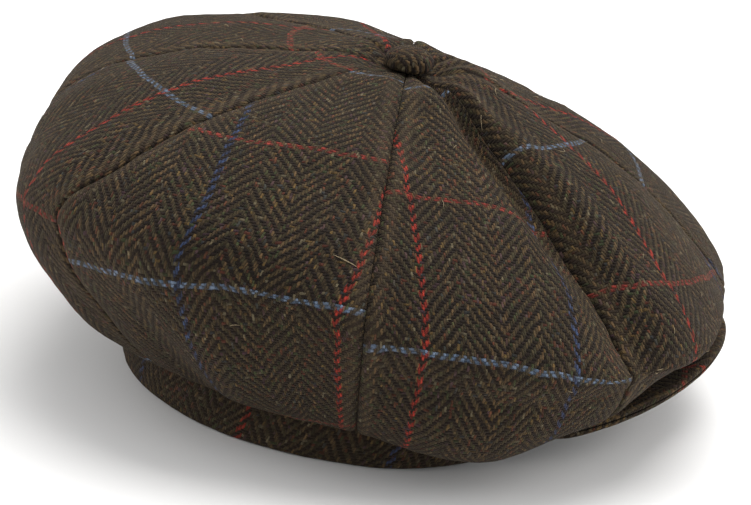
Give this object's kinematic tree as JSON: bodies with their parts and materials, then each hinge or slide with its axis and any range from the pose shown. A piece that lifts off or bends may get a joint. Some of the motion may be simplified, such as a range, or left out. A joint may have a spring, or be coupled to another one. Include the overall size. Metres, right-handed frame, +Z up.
{
  "type": "newsboy cap",
  "caption": "Soft full-crowned newsboy cap in herringbone tweed with a sewn panelled crown, covered button, hatband, short stiff peak and lined inside.",
  "frame": {"origin": "centre of the head opening, in the plane of the hatband's lower edge at the sides and back", "axes": "+Z up towards the button, -Y forward through the peak, +X to the wearer's left"},
  "size_m": [0.2473, 0.2548, 0.1218],
  "materials": {
    "tweed": "woollen herringbone tweed, brushed and matt",
    "satin_lining": "satin",
    "interlining": "stiff woven, matt",
    "sweatband_leather": "soft, satin",
    "peak_board": "matt",
    "tin": "satin",
    "thread": "twisted thread"
  },
  "bodies": {
    "cap": {"crown_panel_front_left": "tweed", "crown_panel_left_front": "tweed", "crown_panel_left_rear": "tweed", "crown_panel_rear_left": "tweed", "crown_panel_rear_right": "tweed", "crown_panel_right_rear": "tweed", "crown_panel_right_front": "tweed", "crown_panel_front_right": "tweed", "lining_panel_front_left": "satin_lining", "lining_panel_left_front": "satin_lining", "lining_panel_left_rear": "satin_lining", "lining_panel_rear_left": "satin_lining", "lining_panel_rear_right": "satin_lining", "lining_panel_right_rear": "satin_lining", "lining_panel_right_front": "satin_lining", "lining_panel_front_right": "satin_lining", "hatband_left": "tweed", "hatband_right": "tweed", "band_interlining": "interlining", "sweatband": "sweatband_leather", "button_cover": "tweed", "button_shell": "tin", "button_back_plate": "tin", "button_thread": "thread", "button_anchor_disc": "peak_board", "press_stud_socket": "tin"},
    "peak": {"peak_under_cover": "tweed", "peak_board": "peak_board", "peak_top_cover": "tweed", "press_stud_ball": "tin"}
  },
  "joints": [
    {"name": "peak_flex", "type": "hinge", "parent": "cap", "child": "peak", "pos_m": [0, -0.07, 0.012], "axis": [1, 0, 0], "range_deg": [0, 8], "stiffness_Nm_per_rad": 0.25, "springref_deg": -3.44}
  ]
}
